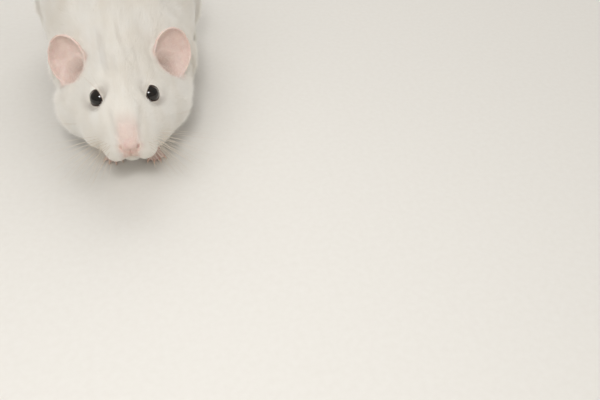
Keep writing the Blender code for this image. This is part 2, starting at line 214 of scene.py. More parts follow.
def points_of(mesh):
    return read(mesh.vertices, "co", 3).astype(float)


def move_points(mesh, points):
    mesh.vertices.foreach_set("co", points.astype(np.float32).ravel())
    mesh.update()


def normals_of(mesh):
    return read(mesh.vertex_normals, "vector", 3).astype(float)


def triangles_of(mesh):
    mesh.calc_loop_triangles()
    return read(mesh.loop_triangles, "vertices", 3, np.int32)


def set_attribute(mesh, name, values):
    attribute = mesh.attributes.get(name) or mesh.attributes.new(name, "FLOAT", "POINT")
    attribute.data.foreach_set("value", values.astype(np.float32))


def get_attribute(mesh, name):
    return read(mesh.attributes[name].data, "value", 1)[:, 0].astype(float)


def new_object(name, data):
    obj = bpy.data.objects.new(name, data)
    bpy.context.scene.collection.objects.link(obj)
    return obj


def object_from(bm, name):
    mesh = bpy.data.meshes.new(name)
    bmesh.ops.recalc_face_normals(bm, faces=bm.faces)
    bm.to_mesh(mesh)
    bm.free()
    return new_object(name, mesh)


def modify(obj, kind, **values):
    """Adds a modifier with these values."""
    modifier = obj.modifiers.new(kind.lower(), kind)
    for name, value in values.items():
        setattr(modifier, name, value)


def apply_modifiers(obj):
    graph = bpy.context.evaluated_depsgraph_get()
    mesh = bpy.data.meshes.new_from_object(obj.evaluated_get(graph))
    mesh.name = obj.name
    obj.modifiers.clear()
    obj.data = mesh


def dress(obj, material, slot, *replaced):
    """Gives the piece its material, and lets it stand for the CAD nodes that it covers; the slot is not used.
    """
    obj.data.materials.clear()
    obj.data.materials.append(material)
    obj.data.shade_smooth()
    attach(obj, "root")
    if replaced:
        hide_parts(*replaced)


def distance_to(names, points, reach=0.004):
    """How far each point is from the nearest of these CAD nodes, or infinity where none is within reach."""
    nearest = np.full(len(points), np.inf)
    for name in names:
        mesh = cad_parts[name].data
        tree = BVHTree.FromPolygons(points_of(mesh).tolist(), triangles_of(mesh).tolist())
        low, high = (np.array(corner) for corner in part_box(name))
        for i in np.flatnonzero(((points > low - reach) & (points < high + reach)).all(1)):
            nearest[i] = min(nearest[i], tree.find_nearest(Vector(points[i]))[3])
    return nearest


# --- Markings and painted shade -----------------------------------------------------------------

# How much each marking shows: bare skin through the coat, painted shade, and the flush of blood.
BARE = {"mouth": 0.7, "bridge": 0.82, "lips": 0.8}
PAINTED_SHADE = {"creases": 0.22, "brow": 0.2, "ear": 0.7, "bridge": 0.16, "lips": 0.2}
FLUSH = {"nose": 0.1, "foot": 0.3, "lips": 0.6}


def painted_shade_at(points):
    """How much painted shade skin and coat carry: under the eyes, in the creases beside the bridge and in the
    partings over the forehead.
    """
    dusk = np.zeros(len(points))
    for out, distance, _, up, inner in round_eyes(points):
        clear_side = 0.38 * up - 0.28 * inner  # the painted shade lies away from this, below and towards the nose
        below = np.clip(0.42 - unit(out) @ clear_side, 0, 1)
        dusk = np.maximum(dusk, fade(EYE_RADIUS * 1.05, EYE_RADIUS * 2.0, distance) * below)
    return np.maximum.reduce([
        dusk, PAINTED_SHADE["creases"] * bridge_line(points), PAINTED_SHADE["brow"] * brow_streaks(points)
    ])


def brow_streaks(points):
    """Painted shade in fine partings that run back over the forehead."""
    across, back, height = body_places(points)
    brow = fade(6.0, 11.0, across) * ease(16.0, 22.0, back) * fade(32.0, 40.0, back) * ease(28, 32, height)
    return brow * np.clip(ripple(points * (1.0, 0.12, 0.2), size=0.0032, seed=10), 0, 1)


def bridge_line(points):
    """1 along the crease on each side of the bridge of the nose, which spreads as it runs back."""
    across, back, height = body_places(points)
    beside = np.exp(-(((across - 3.0 - 0.17 * back) / 0.75) ** 2))
    return beside * ease(1.0, 3.5, back) * fade(6.0, 12.0, back) * ease(18.5, 21.0, height)


# --- Materials ----------------------------------------------------------------------------------


def linear(hex_colour):
    """An sRGB hex colour as linear red, green, blue and alpha."""
    shares = [int(hex_colour[i : i + 2], 16) / 255 for i in (1, 3, 5)]
    return (*((s / 12.92 if s <= 0.04045 else ((s + 0.055) / 1.055) ** 2.4) for s in shares), 1.0)


def add_node(tree, kind, inputs=None, **values):
    """Adds a node, sets its values, and fills its inputs: a socket is linked and anything else is set."""
    node = tree.nodes.new(kind)
    for name, value in values.items():
        setattr(node, name, value)
    for name, value in (inputs or {}).items():
        if isinstance(value, bpy.types.NodeSocket):
            tree.links.new(value, node.inputs[name])
        else:
            node.inputs[name].default_value = value
    return node


def paint(tree, base, *layers):
    """Lays colours over a base colour.

    A layer is where it shows, the values that stand for none and for most of it, the share that most is, and
    its colour: a hex value, or a base with its own layers. Where is the name of a value on the mesh, or the
    size in millimetres and the detail of soft clouds.
    """
    mix = linear(base)
    for where, none, most, share, colour in layers:
        if isinstance(where, str):
            shown = add_node(tree, "ShaderNodeAttribute", attribute_name=where)
        else:
            shown = add_node(tree, "ShaderNodeTexNoise", {
                "Vector": add_node(tree, "ShaderNodeTexCoord").outputs["Object"],
                "Scale": 1 / (where[0] * MM), "Detail": where[1],
            })
        factor = add_node(tree, "ShaderNodeMapRange", {
            "Value": shown.outputs["Fac"], "From Min": none, "From Max": most, "To Max": share,
        }).outputs["Result"]
        colour = linear(colour) if isinstance(colour, str) else paint(tree, *colour)
        mix = add_node(tree, "ShaderNodeMix", {0: factor, 6: mix, 7: colour}, data_type="RGBA").outputs[2]
    return mix


def new_material(name, colour, **constants):
    """A material with one Principled shader, painted this colour, and constants on its sockets."""
    material = bpy.data.materials.new(name)
    material.use_nodes = True
    shader = material.node_tree.nodes["Principled BSDF"]
    for socket, value in constants.items():
        shader.inputs[socket.replace("_", " ")].default_value = value
    material.node_tree.links.new(paint(material.node_tree, *colour), shader.inputs["Base Color"])
    return material


def fur_material():
    """White hamster fur: fine matt hairs, cream at the root and paler to the tip, with a silky sheen."""
    colours = settings()
    layers = (
        ((14.0, 2.0), 0.35, 0.7, 0.5, colours.fur_cream),  # warmer and cooler areas of the body
        ("tone", 0, 1, 0.48, colours.fur_shade),
        ("along", 1, 0, 0.35, colours.fur_root),
        ("bare", 0, 1, 0.55, colours.skin_pink),  # the skin that shows through short, thin hair
        # painted shade under the eyes, beside the bridge and in the partings over the forehead
        ("dusk", 0, 1, 0.7, colours.fur_painted_shade),
    )
    return new_material(
        "white_hamster_fur", (colours.fur_white, *layers),
        Roughness=0.66, Sheen_Weight=0.4, Sheen_Roughness=0.4, Specular_IOR_Level=0.25,
    )


def skin_material():
    """Living skin: soft and pink where it is bare, with fine creases, cream with a nap under the coat, and
    painted shade round the eyes, bridge and lips and in the ears' hollows.
    """
    colours = settings()
    mottle = ((1.6, 4.0), 0.35, 0.7, 1, colours.skin_pale)
    pink = (colours.skin_pink, mottle, ("flush", 0, 1, 1, colours.skin_flush))
    layers = (
        # painted shade under the eyes, in the creases and partings, on the bridge and lips and in the ears'
        # hollows
        ("bare", 0, 1, 1, pink), ("dusk", 0, 1, 0.7, colours.fur_painted_shade), ("rim", 0, 1, 1, colours.lid_rim),
    )
    material = new_material(
        "hamster_skin", (colours.fur_cream, *layers), Specular_IOR_Level=0.35,
        Subsurface_Weight=0.12, Subsurface_Scale=0.0015, Subsurface_Radius=(1.0, 0.35, 0.2),
    )
    tree = material.node_tree
    shader = tree.nodes["Principled BSDF"]
    bare = add_node(tree, "ShaderNodeAttribute", attribute_name="bare").outputs["Fac"]
    roughness = add_node(tree, "ShaderNodeMapRange", {"Value": bare, "To Min": 0.8, "To Max": 0.5})
    tree.links.new(roughness.outputs["Result"], shader.inputs["Roughness"])
    # The creases lie 0.35 mm apart and the nap 0.4 mm, both a little coarser than life, so that they show.
    coordinates = add_node(tree, "ShaderNodeTexCoord").outputs["Object"]
    creases = add_node(
        tree, "ShaderNodeTexVoronoi", {"Vector": coordinates, "Scale": 1 / (0.35 * MM)},
        feature="DISTANCE_TO_EDGE",
    ).outputs["Distance"]
    nap = add_node(
        tree, "ShaderNodeTexNoise", {"Vector": coordinates, "Scale": 1 / (0.4 * MM), "Detail": 3.0}
    ).outputs["Fac"]
    height = add_node(tree, "ShaderNodeMath", {0: creases, 1: nap}, operation="ADD").outputs[0]
    bump = add_node(tree, "ShaderNodeBump", {"Height": height, "Strength": 0.35, "Distance": 0.0001})
    tree.links.new(bump.outputs["Normal"], shader.inputs["Normal"])
    return material


def eye_material():
    """A wet black eye: an almost black brown ball under a clear film of tears."""
    clouds = ((1.2, 3.0), 0.3, 0.7, 1, "#1E1610")
    return new_material(
        "wet_black_eye", ("#0B0907", clouds), Roughness=0.06, IOR=1.376, Coat_Weight=0.5, Coat_Roughness=0.02
    )


def claw_material():
    """Claw horn: thin, pale and a little see-through, pinker at the quick."""
    horn = ("#D9C8B4", ((0.3, 2.0), 0.3, 0.7, 1, "#E9DDCB"))
    return new_material(
        "claw_horn", ("#CF9A8C", ("along", 0, 1, 1, horn)),
        Roughness=0.35, IOR=1.54, Subsurface_Weight=0.2, Subsurface_Scale=0.0005,
    )


def whisker_material():
    """A whisker: one stiff, smooth, pale hair."""
    shades = ((6.0, 2.0), 0, 1, 1, "#C9B9A6")
    return new_material("whisker_hair", ("#E6DCCD", shades), Roughness=0.35, IOR=1.55)


def floor_material():
    """Matt white studio paper, with a tooth of 2 mm, which is coarser than life so that it shows."""
    tooth = ((2.0, 3.0), 0, 1, 1, "#E4E1DB")
    return new_material("studio_paper", ("#DEDAD3", tooth), Roughness=0.9, Specular_IOR_Level=0.2)


# --- Skin ---------------------------------------------------------------------------------------


def eye_frame(name):
    """The eye's middle, the way it looks, and round that the way up and the way towards the nose."""
    side = SIDES[name]
    gaze, high = Vector((0.70 * side, -0.58, 0.42)).normalized(), Vector((0.0, 0.25, 1.0))
    up = (high - gaze * gaze.dot(high)).normalized()
    return np.array(EYES[name]), np.array(gaze), np.array(up), np.array(gaze.cross(up)) * side


def round_eyes(points):
    """For each eye: the points as seen from its middle, their distances, and its gaze, up and inner ways."""
    for name in SIDES:
        centre, gaze, up, inner = eye_frame(name)
        out = points - centre
        yield out, np.linalg.norm(out, axis=1), gaze, up, inner


def melted_flesh(voxel):
    """The CAD's pieces of flesh as one closed body with no gaps, and the eyes' balls filled in."""
    bm = bmesh.new()
    for node in FLESH:
        small = node == "nose" or node in FEET
        swell = 0.00005 if node in EARS else 0.00012 if small else 0.00025  # enough to close the gaps
        piece = bmesh.new()
        piece.from_mesh(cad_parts[node].data)
        bmesh.ops.remove_doubles(piece, verts=piece.verts, dist=1e-6)
        piece.normal_update()
        moves = [(vertex, vertex.normal * swell) for vertex in piece.verts]
        for vertex, move in moves:
            vertex.co += move
        mesh = bpy.data.meshes.new(node)
        piece.to_mesh(mesh)
        piece.free()
        bm.from_mesh(mesh)
        bpy.data.meshes.remove(mesh)
    for centre in EYES.values():
        bmesh.ops.create_uvsphere(
            bm, u_segments=32, v_segments=20, radius=EYE_RADIUS * 0.97, matrix=Matrix.Translation(centre)
        )
    mesh = bpy.data.meshes.new("skin")
    bm.to_mesh(mesh)
    bm.free()
    skin = new_object("skin", mesh)
    modify(skin, "REMESH", mode="VOXEL", voxel_size=voxel)
    modify(skin, "SMOOTH", factor=0.5, iterations=6)
    apply_modifiers(skin)
    keep_outer_body(skin)
    return skin


def keep_outer_body(obj):
    """Drops the small closed shells that melting can leave inside the body."""
    bm = bmesh.new()
    bm.from_mesh(obj.data)
    unseen, islands = set(bm.verts), []
    while unseen:
        island, frontier = [], [unseen.pop()]
        while frontier:
            vertex = frontier.pop()
            island.append(vertex)
            for link in vertex.link_edges:
                other = link.other_vert(vertex)
                if other in unseen:
                    unseen.remove(other)
                    frontier.append(other)
        islands.append(island)
    islands.sort(key=len)
    bmesh.ops.delete(bm, geom=[vertex for island in islands[:-1] for vertex in island], context="VERTS")
    bm.to_mesh(obj.data)
    bm.free()


def bareness(points):
    """How bare each kind of bare skin is at each point, and the most of them as "all"."""
    _, back, height = body_places(points)
    near_ear = fade(0.0005, 0.0015, distance_to(EARS, points))
    near_foot = fade(0.0004, 0.0018, distance_to(FEET, points))
    bare = {
        "ear": near_ear * ease(0.0004, 0.0015, distance_to(("head", "neck"), points)),
        "foot": near_foot * fade(2.8, 4.8, height) * fade(82.0, 87.0, back),
        "nose": fade(0.0001, 0.0016, distance_to(("nose",), points)),
        "tail": fade(0.0003, 0.0020, distance_to(("tail",), points)),
    }
    bare["all"] = np.maximum.reduce(list(bare.values()))
    return bare


def sink_under_coat(skin):
    """Draws the skin in by the coat's depth, and evens what the coat will cover."""
    steps, ear_fuzz = 4, 0.00024
    for _ in range(steps):
        points = points_of(skin.data)
        thin_wall = fade(0.0004, 0.0012, distance_to(EARS, points))
        bare = bareness(points)
        depth = coat_depth(points) * (1 - bare["all"]) * (1 - thin_wall) + ear_fuzz * bare["ear"]
        move_points(skin.data, points - normals_of(skin.data) * depth[:, None] / steps)
    furred = (bare["all"] < 0.02) & (thin_wall < 0.02)
    smooth_where(skin, furred.astype(float), rounds=16)
    smooth_where(skin, furred * loose_skin(points_of(skin.data)), rounds=110)


def loose_skin(points):
    """How loose the skin is: most where the legs meet the body, less under the cheeks and by the bridge."""
    across, back, height = body_places(points)
    by_leg = fade(0.0020, 0.0042, distance_to(LEGS, points))
    by_body = fade(0.0020, 0.0042, distance_to(("trunk", "neck", "head"), points))
    cheek = ease(10, 16, back) * fade(34, 40, back) * fade(18, 24, height) * ease(3, 6, across)
    bridge = ease(4, 8, back) * fade(13, 18, back) * ease(22, 25, height) * ease(2, 3.5, across)
    clear = np.ones(len(points))
    for _, distance, *_ in round_eyes(points):
        clear *= ease(EYE_RADIUS * 1.3, EYE_RADIUS * 1.9, distance)
    return np.maximum.reduce([by_leg * by_body, 0.5 * cheek, 0.4 * bridge * clear])


def smooth_where(skin, weights, rounds):
    """Smooths the skin by these weights, in ten levels."""
    group = skin.vertex_groups.new(name="smoothed")
    for level in range(1, 11):
        chosen = np.flatnonzero(np.round(weights * 10) == level)
        group.add(chosen.tolist(), level / 10, "REPLACE")
    modify(skin, "SMOOTH", factor=0.5, iterations=rounds, vertex_group=group.name)
    apply_modifiers(skin)
    skin.vertex_groups.clear()


# The cup of the left ear: its middle as a place on the body, its half width, depth and height, its turns in
# degrees, and how deep and which way the skin sinks in it.
CUP_MIDDLE = (17.2, 29.8, 34.6)
CUP_HALF_SIZES = (7.2 * MM, 4.4 * MM, 8.7 * MM)
CUP_LEAN, CUP_TURN, CUP_TILT = 8, 30, -16
CUP_DEPTH = 0.0036
CUP_INWARDS = (-0.70, 0.25, -0.67)


def ear_shares(points, side):
    """Each point's place round the middle of an ear's cup, as shares of its half width, depth and height."""
    turn = Matrix.Rotation(math.radians(CUP_LEAN) * side, 3, "Y")
    turn = turn @ Matrix.Rotation(math.radians(CUP_TURN) * side, 3, "Z")
    turn = turn @ Matrix.Rotation(math.radians(CUP_TILT), 3, "X")
    x, back, height = CUP_MIDDLE
    shape = turn @ Matrix.Diagonal(CUP_HALF_SIZES)
    return (points - np.array(place(x * side, back, height))) @ np.array(shape.inverted()).T


def hollow_ears(skin):
    """Sinks the skin in the cup of each ear, and notes where the cup is and how deep."""
    points = points_of(skin.data)
    clear_of_wall = ease(0.0001, 0.0014, distance_to(EARS, points))
    deepest, cup = np.zeros(len(points)), np.zeros(len(points))
    for side in SIDES.values():
        shares = ear_shares(points, side)
        inside = clear_of_wall * fade(0.5, 1.0, np.linalg.norm(shares * (1.0, 0.8, 1.0), axis=1))
        deepest = np.maximum(deepest, inside)
        behind_edge = ease(-0.75, -0.35, shares[:, 1])
        cup = np.maximum(cup, behind_edge * fade(0.9, 1.15, np.linalg.norm(shares, axis=1)))
        x, back, up = CUP_INWARDS
        points += CUP_DEPTH * inside[:, None] * unit(np.array((x * side, back, up)))
    move_points(skin.data, points)
    set_attribute(skin.data, "hollow", deepest)
    set_attribute(skin.data, "cup", cup)


def refine(skin, centres, reach, rounds=2, finest=0.00012):
    """Splits the edges near some places, down to the finest, so that they can hold detail."""
    bm = bmesh.new()
    bm.from_mesh(skin.data)
    for level in range(rounds):
        near = reach * (1 - 0.15 * level)
        edges = [
            edge for edge in bm.edges if edge.calc_length() > finest
            and any((edge.verts[0].co - centre).length < near for centre in centres)
        ]
        bmesh.ops.subdivide_edges(bm, edges=edges, cuts=1, use_grid_fill=True)
        bmesh.ops.triangulate(bm, faces=[face for face in bm.faces if len(face.verts) > 3])
    bm.to_mesh(skin.data)
    bm.free()


def lid_line(rise):
    """The lids' angle from the eye's middle, for each direction of rise, given as (up, across)."""
    tall = settings().eye_height
    wide = settings().eye_width * (1 + 0.13 * ease(0.7, 1.0, rise @ (0.44, 0.90)))  # wider by the nose
    lift, taper = 0.1, 0.34  # the opening lies this much higher, and narrows by this share to its top
    line = np.full(len(rise), tall)
    for _ in range(8):  # each round brings the line nearer to the edge of the drop
        up, across = line * rise[:, 0] - lift, line * rise[:, 1]
        across = across / (wide * (1 - taper * np.clip(up / tall, -1, 1)))
        line = line / np.sqrt(np.maximum((up / tall) ** 2 + across**2, 1e-6)) ** 0.8
    return line


def shape_lids(points, name):
    """Wraps lids round the eyeball, with an opening like a drop: gives the points and their share of rim."""
    centre, gaze, up, across = eye_frame(name)
    out = points - centre
    distance = np.linalg.norm(out, axis=1)
    aim = unit(out)
    turn = np.arccos(np.clip(aim @ gaze, -1, 1))
    outside = turn - lid_line(unit(np.column_stack([aim @ up, aim @ across])))  # angle past the lids' line
    behind = EYE_RADIUS * 0.84  # where the skin goes inside the opening
    rim = EYE_RADIUS + settings().lid_thickness * (0.4 + 0.6 * ease(0.0, 0.25, outside))
    fall_off = fade(0.45, 0.95, outside) * fade(EYE_RADIUS * 1.25, EYE_RADIUS * 1.9, distance)
    wrapped = distance + (rim - distance) * fall_off
    target = behind + (wrapped - behind) * ease(-0.08, 0.0, outside)
    near = (distance < EYE_RADIUS * 1.95) & (turn < 2.0)
    moved = np.where(near, target, distance)
    return centre + aim * moved[:, None], np.where(near, fade(0.02, 0.09, outside), 0.0)


def shape_nose(points, normals):
    """Broadens the pad, and cuts the slanting nostrils, the cleft and the creases by the bridge."""
    nostril_depth, cleft_depth, crease_depth = 0.0008, 0.0005, 0.0003
    points = points.copy()
    pad = np.array(place(0, 1.0, 20.4))
    points[:, 0] *= 1 + 0.3 * fade(0.0022, 0.0050, np.linalg.norm(points - pad, axis=1))
    cut = np.zeros(len(points))
    for side in SIDES.values():
        offset = points - np.array(place(2.65 * side, 0.5, 20.1))
        along = unit(np.array((0.32 * side, 0.35, 0.85)))
        beside = unit(np.cross(along, (0.0, -1.0, 0.3)))
        slit = np.exp(-((offset @ beside / 0.00032) ** 2) - (offset @ along / 0.00100) ** 2)
        cut += nostril_depth * slit * (np.linalg.norm(offset, axis=1) < 0.0028)
    _, back, height = body_places(points)
    cleft = np.exp(-((points[:, 0] / 0.00026) ** 2)) * ease(15.0, 15.8, height) * fade(19.6, 20.4, height)
    cut += cleft_depth * cleft * (back < 5)
    cut += crease_depth * bridge_line(points)
    return points - normals * cut[:, None]


def shape_mouth(points, normals):
    """Cuts a fine line where the lower jaw meets the head: gives the points and the line."""
    _, back, height = body_places(points)
    near = np.flatnonzero((back < 14) & (height < 19))
    gap = distance_to(("lower_jaw",), points[near]) - distance_to(("head",), points[near])
    line = np.zeros(len(points))
    line[near] = np.exp(-((np.nan_to_num(gap, nan=1.0, posinf=1.0, neginf=1.0) / 0.0003) ** 2))
    line *= fade(9.0, 13.0, back)
    depth = 0.00045
    return points - normals * (depth * line)[:, None], line


def unwrap(skin, name):
    """Unwraps the skin's own shape into a map, which the coat's tufts take their places from."""
    skin.data.uv_layers.new(name=name)
    for obj in bpy.context.selected_objects:
        obj.select_set(False)
    skin.select_set(True)
    bpy.context.view_layer.objects.active = skin
    bpy.ops.object.mode_set(mode="EDIT")
    bpy.ops.mesh.select_all(action="SELECT")
    bpy.ops.uv.smart_project(angle_limit=math.radians(66), island_margin=0.002)
    bpy.ops.object.mode_set(mode="OBJECT")


class HAMSTER_OT_skin(bpy.types.Operator):
    """One skin for head, body, ears, legs and feet, sunk under the coat, with lids, nostrils and lips"""

    bl_idname = "hamster.skin"
    bl_label = "Skin"

    def execute(self, context):
        skin = melted_flesh(settings().skin_grain)
        sink_under_coat(skin)
        hollow_ears(skin)
        modify(skin, "DECIMATE", ratio=settings().skin_kept)
        apply_modifiers(skin)
        lips = [place(x, 3.5, 16.5) for x in (-3.0, 0.0, 3.0)]
        refine(skin, list(EYES.values()), reach=EYE_RADIUS * 1.9)
        refine(skin, [place(0, 1.5, 20.0), *lips], reach=0.0045)
        mesh = skin.data
        points = points_of(mesh)
        points = shape_nose(points, normals_of(mesh))
        points, mouth = shape_mouth(points, normals_of(mesh))
        rims = np.zeros(len(points))
        for name in SIDES:
            points, rim = shape_lids(points, name)
            rims = np.maximum(rims, rim)
        move_points(mesh, points)
        set_attribute(mesh, "rim", rims)
        self.mark(mesh, points, mouth)
        unwrap(skin, SKIN_MAP)
        dress(skin, skin_material(), "fur", *FLESH)
        return {"FINISHED"}

    def mark(self, mesh, points, mouth):
        """Notes where the skin is bare, where it is an ear's, how much painted shade it carries and how
        flushed it is.
        """
        bare = bareness(points)
        across, back, height = body_places(points)
        bridge = fade(2.2, 4.2, across) * fade(2.5, 8.0, back) * ease(18, 20.5, height)
        lips = fade(1.8, 3.6, across) * fade(2.5, 4.5, back) * fade(18.0, 19.5, height)
        lips *= ease(13.5, 15.0, height)
        hollow = get_attribute(mesh, "hollow")
        cup = np.maximum(ease(0.05, 0.4, hollow), get_attribute(mesh, "cup"))
        bare_all = np.maximum.reduce([
            bare["all"], cup, BARE["mouth"] * mouth, BARE["bridge"] * bridge, BARE["lips"] * lips
        ])
        to_ear = distance_to(EARS, points)
        fold = fade(0.0004, 0.0020, to_ear) * fade(0.0004, 0.0020, distance_to(("head",), points))
        by_ear = np.maximum(0.45 * fade(0.0004, 0.0032, to_ear), 0.6 * fold)
        ear = np.maximum.reduce([bare["ear"], cup, by_ear])
        # painted shade: under the eyes, in the creases and partings, deepest in the ears' hollows, and on the
        # bridge and lips
        dusk = np.maximum.reduce([
            painted_shade_at(points), PAINTED_SHADE["ear"] * hollow, PAINTED_SHADE["bridge"] * bridge, PAINTED_SHADE["lips"] * lips
        ])
        flush = FLUSH["nose"] * bare["nose"] + FLUSH["foot"] * bare["foot"] + FLUSH["lips"] * lips
        set_attribute(mesh, "ear", ear)
        set_attribute(mesh, "bare", bare_all * (1 - 0.16 * ear))
        set_attribute(mesh, "dusk", dusk)
        set_attribute(mesh, "flush", np.clip(flush, 0, 1))


# --- Eyes, claws and whiskers -------------------------------------------------------------------


class HAMSTER_OT_eyes(bpy.types.Operator):
    """Two wet black eyeballs, each with a slightly domed cornea"""

    bl_idname = "hamster.eyes"
    bl_label = "Eyes"

    def execute(self, context):
        material = eye_material()
        for name in SIDES:
            centre, gaze, _, _ = eye_frame(name)
            bm = bmesh.new()
            turn = Vector(gaze).to_track_quat("Z", "Y").to_matrix().to_4x4()
            bmesh.ops.create_uvsphere(bm, u_segments=64, v_segments=40, radius=EYE_RADIUS)
            for vertex in bm.verts:
                aim = vertex.co.normalized()
                across = CORNEA_FORWARD**2 * (1 - aim.z**2)
                reach = CORNEA_FORWARD * aim.z + math.sqrt(max(0.0, CORNEA_RADIUS**2 - across))
                vertex.co = aim * max(EYE_RADIUS, reach) if aim.z > 0 else vertex.co
            bmesh.ops.smooth_vert(
                bm, verts=bm.verts, factor=0.5, use_axis_x=True, use_axis_y=True, use_axis_z=True
            )
            bmesh.ops.transform(bm, matrix=Matrix.Translation(centre) @ turn, verts=bm.verts)
            dress(object_from(bm, f"eyeball_{name}"), material, "eye", f"eye_{name}")
        return {"FINISHED"}


# A foot and its claws, in millimetres: where it stands, how far it is turned out in degrees, how much further
# forward it stands on each side, its ball, and each toe's angle and length.
Foot = namedtuple("Foot", "x back turn step ball_back ball_radius toes toe_radius claw_length claw_radius")
FRONT_FOOT = Foot(
    x=6.8, back=21.6, turn=9, step={"left": 1.2, "right": -0.6}, ball_back=2.6, ball_radius=2.7,
    toes=((-27, 2.97), (-8, 3.6), (10, 3.6), (29, 2.97)), toe_radius=0.8, claw_length=1.7, claw_radius=0.40,
)
HIND_FOOT = Foot(
    x=21.5, back=76.5, turn=12, step={"left": -1.5, "right": 1.5}, ball_back=3.4, ball_radius=3.4,
    toes=((-34, 3.23), (-15, 4.42), (0, 4.76), (15, 4.42), (36, 2.89)), toe_radius=0.9, claw_length=2.2,
    claw_radius=0.46,
)
# A claw's rings: how far along it each lies, and its height and radius as shares of the toe's and the claw's.
CLAW_RINGS = ((-0.35, 1.15, 0.9), (0.1, 1.2, 1.0), (0.5, 0.95, 0.78), (0.8, 0.55, 0.42), (1.0, 0.22, 0.12))


def add_horn(bm, points, radii, sides=10):
    """A closed tapering tube of rings along a path, with a value along of 0 at its root and 1 at its tip."""
    along = bm.verts.layers.float.get("along") or bm.verts.layers.float.new("along")
    rings = []
    for i, (point, radius) in enumerate(zip(points, radii)):
        direction = (points[min(i + 1, len(points) - 1)] - points[max(i - 1, 0)]).normalized()
        turn = direction.to_track_quat("Z", "Y").to_matrix().to_4x4()
        made = bmesh.ops.create_circle(
            bm, cap_ends=False, segments=sides, radius=radius, matrix=Matrix.Translation(point) @ turn
        )
        for vertex in made["verts"]:
            vertex[along] = i / (len(points) - 1)
        rings.append(made["verts"])
    for lower, upper in zip(rings, rings[1:]):
        bmesh.ops.bridge_loops(bm, edges=ring_edges(lower) + ring_edges(upper))
    for ring in (rings[0], rings[-1]):
        bmesh.ops.contextual_create(bm, geom=ring_edges(ring))


def ring_edges(ring):
    members = set(ring)
    return list({
        edge for vertex in ring for edge in vertex.link_edges if edge.other_vert(vertex) in members
    })


class HAMSTER_OT_claws(bpy.types.Operator):
    """A small curved claw at the tip of each toe"""

    bl_idname = "hamster.claws"
    bl_label = "Claws"

    def execute(self, context):
        material = claw_material()
        for kind, foot in (("front", FRONT_FOOT), ("hind", HIND_FOOT)):
            for name, side in SIDES.items():
                bm = bmesh.new()
                origin = place(foot.x * side, foot.back - foot.step[name], 0)
                turned = Matrix.Translation(origin) @ Matrix.Rotation(math.radians(foot.turn) * side, 4, "Z")
                for angle, length in foot.toes:
                    aim = math.radians(angle * side)
                    toe_end = foot.ball_radius * 0.8 + length - 0.2 + foot.toe_radius
                    points, radii = [], []
                    for along, height, radius in CLAW_RINGS:
                        reach = toe_end + foot.claw_length * along
                        points.append(turned @ Vector((
                            math.sin(aim) * reach * MM, (foot.ball_back - math.cos(aim) * reach) * MM,
                            foot.toe_radius * height * MM,
                        )))
                        radii.append(foot.claw_radius * MM * radius)
                    add_horn(bm, points, radii)
                dress(object_from(bm, f"claws_{kind}_{name}"), material, "bare_skin")
        return {"FINISHED"}


# Whisker rows run back along the muzzle, one below another. A few more stand over each eye and on each cheek,
# round a place on the left.
WHISKER_ROWS, WHISKERS_IN_ROW = 6, 6
BROW_AND_CHEEK = (((6.8, 15.2, 32.0), 3), ((15.5, 17.5, 19.0), 2))


class HAMSTER_OT_whiskers(bpy.types.Operator):
    """Whiskers that fan out and down from both sides of the muzzle, and a few by the eyes and cheeks"""

    bl_idname = "hamster.whiskers"
    bl_label = "Whiskers"

    def execute(self, context):
        rng = np.random.default_rng(11)
        skin = bpy.data.objects["skin"]
        tree = BVHTree.FromPolygons(points_of(skin.data).tolist(), triangles_of(skin.data).tolist())
        longest, thickness = settings().whisker_length, settings().whisker_thickness
        material = whisker_material()
        for name, side in SIDES.items():
            bm = bmesh.new()
            # Roots stand 1.2 mm apart along a row and rows 1 mm apart, each up to 0.25 mm out of line.
            for row in range(WHISKER_ROWS):
                for column in range(WHISKERS_IN_ROW):
                    back = 2.4 + 1.2 * column + rng.uniform(-0.25, 0.25)
                    height = 20.4 - 1.0 * row - 0.1 * column + rng.uniform(-0.25, 0.25)
                    root, normal, _, _ = tree.find_nearest(place((5.5 + 0.7 * column) * side, back, height))
                    turn = math.radians(42 + 10 * column + rng.uniform(-4, 4))  # from straight ahead
                    drop = math.radians(4 + 11 * row + rng.uniform(-4, 4))  # from level
                    level = math.cos(drop)
                    aim = Vector((side * math.sin(turn) * level, -math.cos(turn) * level, -math.sin(drop)))
                    length = longest * (0.45 + 0.11 * column) * rng.uniform(0.8, 1.05)
                    self.add_whisker(bm, root, (aim + normal * 0.25).normalized(), length, thickness, rng)
            for (x, back, height), count in BROW_AND_CHEEK:
                for _ in range(count):
                    jitter = Vector(rng.uniform(-0.0005, 0.0005, 3))
                    root, normal, _, _ = tree.find_nearest(place(x * side, back, height) + jitter)
                    aim = (normal * 0.8 + Vector((0.5 * side, 0.35, 0.35))).normalized()
                    self.add_whisker(bm, root, aim, longest * rng.uniform(0.4, 0.55), thickness * 0.7, rng)
            dress(object_from(bm, f"whiskers_{name}"), material, "fur")
        return {"FINISHED"}

    def add_whisker(self, bm, root, aim, length, thickness, rng):
        """Adds a whisker that droops to its tip, cut short where it would reach the floor."""
        droop = Vector((0, rng.uniform(0.0, 0.25), -rng.uniform(0.1, 0.35)))
        clearance, buried, steps = 0.001, 0.0004, 7
        room = root.z - FLOOR_LEVEL - clearance
        fall = -(aim.z + droop.z / 2)
        if fall * length > room:
            length = room / fall
        points, radii = [], []
        for i in range(steps + 1):
            t = i / steps
            points.append(root - aim * buried + aim * length * t + droop * length * t * t * 0.5)
            radii.append(thickness / 2 * (1 - 0.88 * t**1.4))
        add_horn(bm, points, radii, sides=5)


# --- Coat ---------------------------------------------------------------------------------------

COAT_PIECES = (
    "coat_muzzle", "coat_brow", "coat_cheeks", "coat_crown", "coat_throat", "coat_shoulders", "coat_back",
    "coat_flank_left", "coat_flank_right", "coat_rump", "coat_belly", "coat_front_legs", "coat_hind_legs",
)
MOST_TRIANGLES = 200_000  # in one piece of the coat


